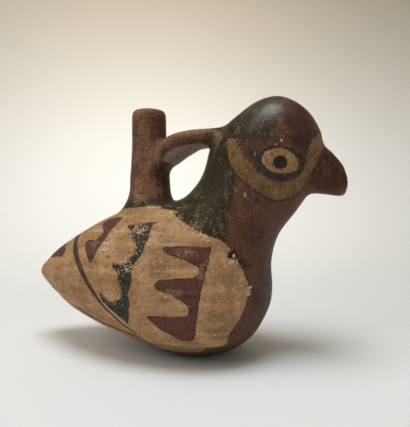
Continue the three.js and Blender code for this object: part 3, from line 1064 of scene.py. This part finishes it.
    # Darker in hollows and creases: painted shade
    dirt_and_shade = between(bend * -1.7 + middling * 0.4, 0.12, 0.9)
    pits = between(pores + scuff * 0.04, 0.19, 0.23)
    chip = area("chip", fine * 3.0 + speck * 3.0, 0.15)
    chip_tone = between(stored("chip_tone") + speck * 4.0, -0.4, 0.4)
    bare = between(stored("bare"), 0.3, 0.7)
    colour = over(
        painting,
        # A painted highlight along the gap by the tail line
        (area("scratch", wobble * 0.3, 0.2) * 0.6, "cream_light"),
        (rubbed_edge * 0.45 * (1 - wing) * (1 - red * 0.9), "worn"),
        (dirt_and_shade * 0.45, "dirt_and_shade"),
        (pits * 0.5, "dirt_and_shade"),
        # Dark chips, and pale ones: chipped clay and painted glints
        (chip, over("cream_light", (chip_tone, "dirt_and_shade"))),
        (bare, over("clay", (between(middling, -0.2, 0.2), "clay_dark"))),
    )

    # Burnish: slips shine softly, and worn places, chips and the inside are dull
    rough = 0.46 + fine * 0.2 + middling * 0.16 + wing * 0.14 + strokes * 0.2
    rough = rough + worn_through * 0.2 + dirt_and_shade * 0.15 + chip * 0.3 + bare * 0.4 + pits * 0.2
    rough = graph.math("ADD", rough, flecks * 0.08, clamp=True)
    kept = between(stored("burnish") + middling * 0.4, 0.0, 0.9) * 0.92 + 0.08
    gloss = kept * (1 - wing * 0.8) * (1 - worn_through * 0.6) * (1 - chip) * (1 - bare) * look.shine

    # Relief of the grain, the strokes and the paint
    height = dust * 0.09 + fine * 0.2 + middling * 0.3
    height = height + strokes * (0.05 + 0.1 * (1 - wing)) + sweep * 0.06 * wing
    height = height + black * 0.05 + maroon * 0.04 - worn_through * 0.1 - pits * 0.22 - chip * 0.18
    height = height + speck * (0.06 + bare * 0.5)
    normal = graph.node("ShaderNodeBump", None, {"Strength": 0.9, "Distance": MM, "Height": height})
    graph.surface({
        "Base Color": colour, "Roughness": rough, "Normal": normal, "IOR": 1.5,
        "Specular IOR Level": 0.07, "Metallic": 0.0,
        "Coat Weight": gloss, "Coat Roughness": 0.28,
    })
    return material


def plain_clay():
    """A stand-in that the strap carries until the whole vessel is painted."""
    return bpy.data.materials.new("Raw clay")


# The studio


def stage_profile(studio):
    """Radius and height of a round floor that curves up into a wall."""
    flat, cove = studio.floor_radius, studio.cove_radius
    turn = np.radians(np.linspace(-90, 0, COVE_STEPS))
    rows = [(flat * share, 0.0) for share in (0.1, 0.25, 0.5, 0.75)]
    rows += [(flat + cove * np.cos(t), cove + cove * np.sin(t)) for t in turn]
    rows += [(flat + cove, cove + (studio.wall_height - cove) * share) for share in (0.5, 1.0)]
    return np.asarray(rows)


def backdrop(studio):
    """The floor and the wall behind it, one seamless sweep."""
    radius, height = stage_profile(studio).T[..., None] / MM
    turn = full_turn(STAGE_SIDES)
    rings = np.stack((radius * np.cos(turn), radius * np.sin(turn), height + 0 * turn), 2)
    sweep = mesh_object("backdrop", *skin(rings, (0, 0, 0)))
    sweep.data.shade_smooth()
    material, graph = empty_material("Backdrop")
    place = graph.node("ShaderNodeTexCoord", out="Object")
    back, rise = (graph.node("ShaderNodeSeparateXYZ", None, {"Vector": place}, out=axis) for axis in "YZ")
    paints = (studio.floor_colour, studio.shaded_wall_colour, studio.shaded_room_colour)
    floor, wall, room = ((*paint, 1.0) for paint in paints)
    # One pale sweep, painted darker and warmer up the wall and darker still towards the camera: painted shade
    low, high = FLOOR_TO_WALL
    wall = graph.over(room, (graph.between(back, *ROOM_TO_WALL), wall))
    paint = graph.over(floor, (graph.between(rise, low, studio.wall_height * high), wall))
    graph.surface({"Base Color": paint, "Roughness": 0.9, "Specular IOR Level": 0.2})
    sweep.data.materials.append(material)
    return sweep


def soft_light(name, at, aim, size, spread, colour, power):
    lamp = bpy.data.lights.new(name, "AREA")
    lamp.spread = np.radians(spread)
    lamp.shape = "DISK"
    lamp.size = size
    lamp.energy = power
    lamp.color = colour
    thing = bpy.data.objects.new(name, lamp)
    thing.location = at
    thing.rotation_euler = (Vector(aim) - Vector(at)).to_track_quat("-Z", "Y").to_euler()
    bpy.context.scene.collection.objects.link(thing)


# Sizes and colours that a user would change


def length(name, description, default, low=-10.0, high=10.0):
    return FloatProperty(
        name=name, description=description, default=default, min=low, max=high, unit="LENGTH", precision=5)


def power(name, description, default):
    return FloatProperty(name=name, description=description, default=default, min=0.0, subtype="POWER")


def slip_colour(name, description, default):
    return FloatVectorProperty(
        name=name, description=description, subtype="COLOR", size=3, min=0.0, max=1.0, default=default)


class VaseSizes(bpy.types.PropertyGroup):
    """Sizes of the vessel's own parts."""

    spout_across: length("Spout", "Outside of the spout below its rim", 0.0237, 0.015, 0.03)
    foot_across: length("Spout foot", "Outside of the spout above its flare", 0.0276, 0.018, 0.035)
    spout_wall: length("Spout wall", "Thickness of the spout's clay", 0.004, 0.0032, 0.006)
    wall: length("Wall", "Thickness of the body's clay", 0.005, 0.003, 0.008)
    strap_width: length("Strap width", "Width of the strap handle", 0.023, 0.012, 0.03)
    strap_thickness: length("Strap thickness", "Thickness of the strap handle", 0.0104, 0.006, 0.014)
    strap_squareness: FloatProperty(
        name="Strap roundness", description="1 is an oval section, and less is squarer",
        default=0.72, min=0.4, max=1.0)
    grain: length("Mesh size", "Size of the mesh's faces", 0.00102, 0.0008, 0.004)
    joint_reach: length("Joint reach", "How far the clay is smoothed where parts meet", 0.005, 0.001, 0.012)
    joint_rounds: IntProperty(
        name="Joint rounds", description="How often the joints are smoothed over", default=30, min=0, max=200)
    uneven: length("Unevenness", "Depth of the hand-made hollows in the surface", 0.0007, 0.0, 0.002)


class ClayLook(bpy.types.PropertyGroup):
    """Colours of the slips, the smoke and the worn clay."""

    maroon: slip_colour("Maroon", "Dark red slip of the figures", (0.115, 0.049, 0.035))
    brown: slip_colour("Brown", "Slip of the head, neck and spout", (0.127, 0.058, 0.038))
    red_brown: slip_colour("Red brown", "Slip of the beak and the breast", (0.078, 0.029, 0.0235))
    dark_brown: slip_colour("Dark brown", "Darker patches of the brown slip", (0.045, 0.024, 0.0185))
    smoke: slip_colour("Smoke", "Olive clouds from the fire", (0.037, 0.028, 0.014))
    dust: slip_colour("Dust", "Pale dust in the burnishing strokes", (0.19, 0.145, 0.085))
    # Bloom paints a pale film on the figures, and painted bounce light on the strap's underside
    bloom_and_bounce_light: slip_colour("Bloom", "Pale clay under the strap", (0.36, 0.25, 0.19))
    worn: slip_colour("Worn", "Clay where the slip is rubbed away", (0.29, 0.15, 0.078))
    cream: slip_colour("Cream", "Slip of the wings", (0.47, 0.274, 0.138))
    cream_deep: slip_colour("Deep cream", "Darker mottles of the wings' slip", (0.32, 0.176, 0.083))
    # Light cream also paints the highlight by the tail line and the glints in chips
    cream_light: slip_colour("Light cream", "Lightest streaks and chips", (0.60, 0.43, 0.27))
    # This colour also paints the shade low along the bottom of the wings
    olive_stain_and_shade: slip_colour("Stain", "Olive stains on the cream", (0.17, 0.115, 0.055))
    black: slip_colour("Black", "Black paint", (0.04, 0.035, 0.029))
    black_worn: slip_colour("Worn black", "Black paint rubbed thin", (0.068, 0.053, 0.04))
    band: slip_colour("Band", "Cream of the face band", (0.205, 0.112, 0.05))
    band_deep: slip_colour("Deep band", "Darker mottles of the face band", (0.13, 0.07, 0.032))
    eye_white: slip_colour("Eye", "Light ring of the eye", (0.345, 0.188, 0.089))
    pupil: slip_colour("Pupil", "Pupil of the eye", (0.03, 0.026, 0.018))
    # Dirt in stains, pits and chips, and painted shade in hollows, in creases and low along the bottom
    dirt_and_shade: slip_colour("Grime", "Dirt in pits and hollows", (0.035, 0.027, 0.018))
    clay: slip_colour("Clay", "Bare fired clay inside", (0.30, 0.15, 0.08))
    clay_dark: slip_colour("Dark clay", "Darker patches of the bare clay", (0.16, 0.09, 0.055))
    shine: FloatProperty(
        name="Shine", description="Strength of the burnish", default=0.44, min=0.0, max=1.0)


class StudioLook(bpy.types.PropertyGroup):
    """The floor, the wall, the lights and the camera."""

    floor_radius: length("Floor", "Radius of the flat floor", 0.45, 0.2)
    cove_radius: length("Cove", "Radius of the curve from floor to wall", 0.8, 0.1)
    wall_height: length("Wall height", "Height of the wall", 1.9, 1.0)
    floor_colour: slip_colour("Floor colour", "Colour of the floor", (0.86, 0.87, 0.88))
    # The wall and the room behind the camera are the pale sweep painted darker: painted shade
    shaded_wall_colour: slip_colour("Wall colour", "Colour of the wall", (0.62, 0.55, 0.42))
    shaded_room_colour: slip_colour("Room colour", "Colour of the wall behind the camera", (0.24, 0.22, 0.19))
    overhead_power: power("Overhead", "Power of the soft light overhead", 2.85)
    front_power: power("Front", "Power of the soft light behind the camera", 0.95)
    backdrop_power: power("Backdrop", "Power of the soft light on the wall", 3.5)
    world_light: FloatProperty(
        name="Ambient", description="Strength of the light from all round", default=0.46, min=0.0)
    camera_turn: FloatProperty(
        name="Camera turn", description="How far the camera stands round towards the beak",
        default=np.radians(17.0), subtype="ANGLE")
    camera_away: length("Camera distance", "From the camera to the middle of the vessel", 0.277, 0.1)
    camera_height: length("Camera height", "Height of the level camera", 0.0883)
    camera_aim: length("Camera aim", "Place along the vessel that the camera looks at", 0.009)
    lens: FloatProperty(
        name="Lens", description="Focal length on a 36 mm frame", default=36.0, min=10.0)


# The pieces


class VASE_OT_vessel(bpy.types.Operator):
    """Make the bird vessel: form, spout, strap, hollow, painting and wear"""

    bl_idname = "vase.vessel"
    bl_label = "Bird vessel"

    def execute(self, context):
        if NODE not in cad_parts:
            raise RuntimeError("The frame holds no node named " + NODE)
        sizes, look = context.scene.vase_sizes, context.scene.clay_look
        clay = plain_clay()
        across, foot_across = sizes.spout_across / MM, sizes.foot_across / MM
        spout_wall, wall = sizes.spout_wall / MM, sizes.wall / MM
        bird = mesh_object("bird_vase_clay", *bird_form())
        beak = mesh_object("beak", *beak_form())
        spout = mesh_object("spout", *spout_form(across, foot_across))
        band = strap(sizes.strap_width, sizes.strap_thickness, sizes.strap_squareness, clay)
        trees = [tree_of(thing) for thing in (bird, beak, spout, band)]
        combine(bird, (beak, spout, band), "UNION")
        modifier = bird.modifiers.new("Even mesh", "REMESH")
        modifier.mode = "VOXEL"
        modifier.voxel_size = sizes.grain
        apply_shape(bird)
        mesh = bird.data
        self.work_clay(mesh, trees, sizes)
        mark, tone = dent(mesh)
        store(mesh, "chip", mark)
        store(mesh, "chip_tone", tone)
        low, high = (np.array(corner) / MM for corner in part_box(NODE))
        set_points(mesh, np.clip(points_of(mesh), low, high))
        store(mesh, "bend", bends(mesh))
        hollow = mesh_object("hollow", *hollow_form(wall))
        bore = mesh_object("bore", *bore_form(across, spout_wall, wall))
        combine(hollow, (bore,), "UNION")
        inner = tree_of(hollow)
        combine(bird, (hollow,), "DIFFERENCE")
        self.paint(bird.data, inner, look)
        for thing in (beak, spout, band, hollow, bore):
            remove(thing)
        bpy.data.materials.remove(clay)
        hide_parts(NODE)
        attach(bird, BODY)
        return {"FINISHED"}

    def work_clay(self, mesh, trees, sizes):
        """Smooth the joints and leave the surface slightly uneven."""
        relax(mesh, np.full(len(mesh.vertices), EVEN_SHARE), EVEN_ROUNDS)
        near = joint_nearness(points_of(mesh), trees, sizes.joint_reach / MM)
        relax(mesh, JOINT_SHARE * near, sizes.joint_rounds)
        points = points_of(mesh)
        depth = UNEVEN_MEAN
        for seed, (share, size) in enumerate(UNEVEN_NOISES):
            depth = depth + share * noise_at(points, size, seed)
        points -= normals_of(mesh) * (np.clip(depth, 0, 1) * sizes.uneven / MM)[:, None]
        set_points(mesh, points)

    def paint(self, mesh, inner, look):
        """Store where the paint, clouds and wear lie, and give the clay its material."""
        points, normals = points_of(mesh), normals_of(mesh)
        for name, values in paint_areas(points, normals).items():
            store(mesh, name, values)
        for name, spots in CLOUDS.items():
            store(mesh, name, cloud(spots, points))
        away = [inner.find_nearest(point, BARE_SEARCH)[3] for point in points.tolist()]
        store(mesh, "bare", np.array([float(a is not None and a < BARE_REACH) for a in away]))
        mesh.materials.clear()
        mesh.materials.append(painted_clay(look))
        mesh.shade_smooth()


class VASE_OT_studio(bpy.types.Operator):
    """Make the pale floor and wall, the soft lights and the camera"""

    bl_idname = "vase.studio"
    bl_label = "Studio"

    def execute(self, context):
        studio = context.scene.studio_look
        if studio.wall_height <= studio.cove_radius:
            raise RuntimeError("The wall has to be higher than the curve at its foot")
        backdrop(studio)
        for name, *light in LIGHTS:
            soft_light(name, *light, getattr(studio, name + "_power"))
        self.world(context.scene, studio)
        self.camera(context.scene, studio)
        context.scene.view_settings.view_transform = "Standard"
        return {"FINISHED"}

    def world(self, scene, studio):
        world = bpy.data.worlds.new("Room light")
        world.use_nodes = True
        background = world.node_tree.nodes["Background"]
        background.inputs["Color"].default_value = ROOM_LIGHT
        background.inputs["Strength"].default_value = studio.world_light
        scene.world = world

    def camera(self, scene, studio):
        lens = bpy.data.cameras.new("camera")
        lens.lens = studio.lens
        lens.clip_start = 0.01
        camera = bpy.data.objects.new("camera", lens)
        turn, away = studio.camera_turn, studio.camera_away
        camera.location = (
            studio.camera_aim + away * np.sin(turn), -away * np.cos(turn), studio.camera_height)
        camera.rotation_euler = (np.pi / 2, 0.0, turn)
        scene.collection.objects.link(camera)
        scene.camera = camera


class VASE_PT_panel(bpy.types.Panel):
    """Lists the vase's pieces, sizes and colours"""

    bl_idname = "VASE_PT_panel"
    bl_label = "Bird Effigy Vase"
    bl_space_type = "VIEW_3D"
    bl_region_type = "UI"
    bl_category = "Vase"

    def draw(self, context):
        layout = self.layout
        scene = context.scene
        for operator, groups in (
            ("vase.vessel", (scene.vase_sizes, scene.clay_look)),
            ("vase.studio", (scene.studio_look,)),
        ):
            box = layout.box()
            box.operator(operator)
            for settings in groups:
                for name in settings.__annotations__:
                    box.prop(settings, name)


GROUPS = (("vase_sizes", VaseSizes), ("clay_look", ClayLook), ("studio_look", StudioLook))
CLASSES = (VaseSizes, ClayLook, StudioLook, VASE_OT_vessel, VASE_OT_studio, VASE_PT_panel)


def register():
    for cls in CLASSES:
        bpy.utils.register_class(cls)
    for name, group in GROUPS:
        setattr(bpy.types.Scene, name, PointerProperty(type=group))


def unregister():
    for name, _ in GROUPS:
        delattr(bpy.types.Scene, name)
    for cls in reversed(CLASSES):
        bpy.utils.unregister_class(cls)


def main():
    register()
    bpy.ops.vase.studio()
    bpy.ops.vase.vessel()


if __name__ == "__main__":
    main()
